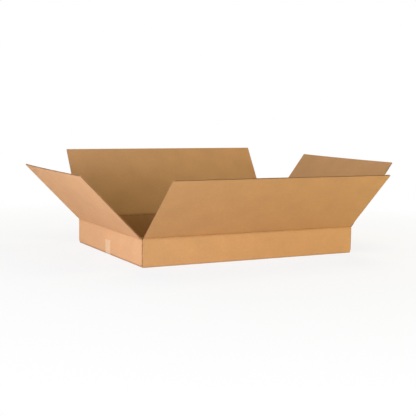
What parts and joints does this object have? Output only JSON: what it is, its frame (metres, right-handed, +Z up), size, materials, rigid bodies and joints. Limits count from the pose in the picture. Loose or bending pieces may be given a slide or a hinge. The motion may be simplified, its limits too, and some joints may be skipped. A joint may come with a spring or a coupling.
{
  "type": "shallow cardboard box",
  "caption": "Shallow corrugated cardboard box, open at the top, with hinged top flaps standing outwards and a folded bottom closed with tape, for packing flat goods.",
  "frame": {"origin": "centre of the underside, where the box rests", "axes": "+X along the long walls, -X at the taped end that the picture shows; -Y towards the long wall in front; +Z up, out of the open top"},
  "size_m": [1.2638, 1.0012, 0.3596],
  "materials": {
    "board": "plain brown kraft liner, matt",
    "tape": "thin pale film tape, slightly glossy"
  },
  "bodies": {
    "carton": {"carton_body": "board", "bottom_tape": "tape"},
    "front_flap": {"front_major_flap": "board"},
    "back_flap": {"back_major_flap": "board"},
    "left_flap": {"left_minor_flap": "board"},
    "right_flap": {"right_minor_flap": "board"}
  },
  "joints": [
    {"name": "front_flap_crease", "type": "hinge", "parent": "carton", "child": "front_flap", "pos_m": [0, -0.307, 0.099], "axis": [-1, 0, 0], "range_deg": [-60.5, 136.5]},
    {"name": "back_flap_crease", "type": "hinge", "parent": "carton", "child": "back_flap", "pos_m": [0, 0.307, 0.099], "axis": [1, 0, 0], "range_deg": [-75, 122]},
    {"name": "left_flap_crease", "type": "hinge", "parent": "carton", "child": "left_flap", "pos_m": [-0.428, 0, 0.0945], "axis": [0, 1, 0], "range_deg": [-62, 135]},
    {"name": "right_flap_crease", "type": "hinge", "parent": "carton", "child": "right_flap", "pos_m": [0.428, 0, 0.0945], "axis": [0, -1, 0], "range_deg": [-69, 128]}
  ]
}
